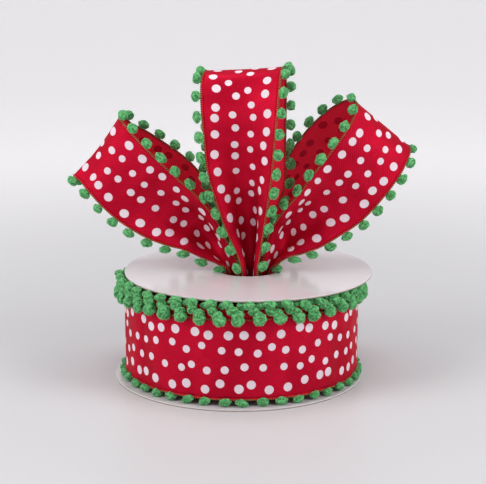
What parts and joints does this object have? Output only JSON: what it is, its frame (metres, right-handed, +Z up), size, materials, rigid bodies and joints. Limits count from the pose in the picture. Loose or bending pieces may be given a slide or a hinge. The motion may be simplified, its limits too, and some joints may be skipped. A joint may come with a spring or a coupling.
{
  "type": "pompom edged ribbon on spool",
  "caption": "Polka dot satin ribbon with pompom fringe on both edges, wound on a flat round spool, with upright loops standing out of its hub.",
  "frame": {"origin": "on the surface that the spool stands on, under the middle of the whole object", "axes": "+Z up along the spool's axis, +X to the right of the centre loop's printed face, -Y the front"},
  "size_m": [0.1671, 0.1265, 0.1515],
  "materials": {
    "ribbon_satin": "satin weave with white printed dots on its outer face",
    "pompom_chenille": "cut pile",
    "card": "coated white card",
    "card_tube": "plain brown card"
  },
  "bodies": {
    "root": {"spool_bottom_flange": "card", "spool_top_flange": "card", "spool_core": "card_tube", "ribbon_roll": "ribbon_satin", "pompoms_roll_top_inner": "pompom_chenille", "pompoms_roll_top_middle": "pompom_chenille", "pompoms_roll_top_outer": "pompom_chenille", "pompoms_roll_bottom": "pompom_chenille", "ribbon_loop_centre": "ribbon_satin", "pompoms_loop_centre_a": "pompom_chenille", "pompoms_loop_centre_b": "pompom_chenille", "ribbon_loop_left": "ribbon_satin", "pompoms_loop_left_a": "pompom_chenille", "pompoms_loop_left_b": "pompom_chenille", "ribbon_loop_right": "ribbon_satin", "pompoms_loop_right_a": "pompom_chenille", "pompoms_loop_right_b": "pompom_chenille"}
  },
  "joints": []
}
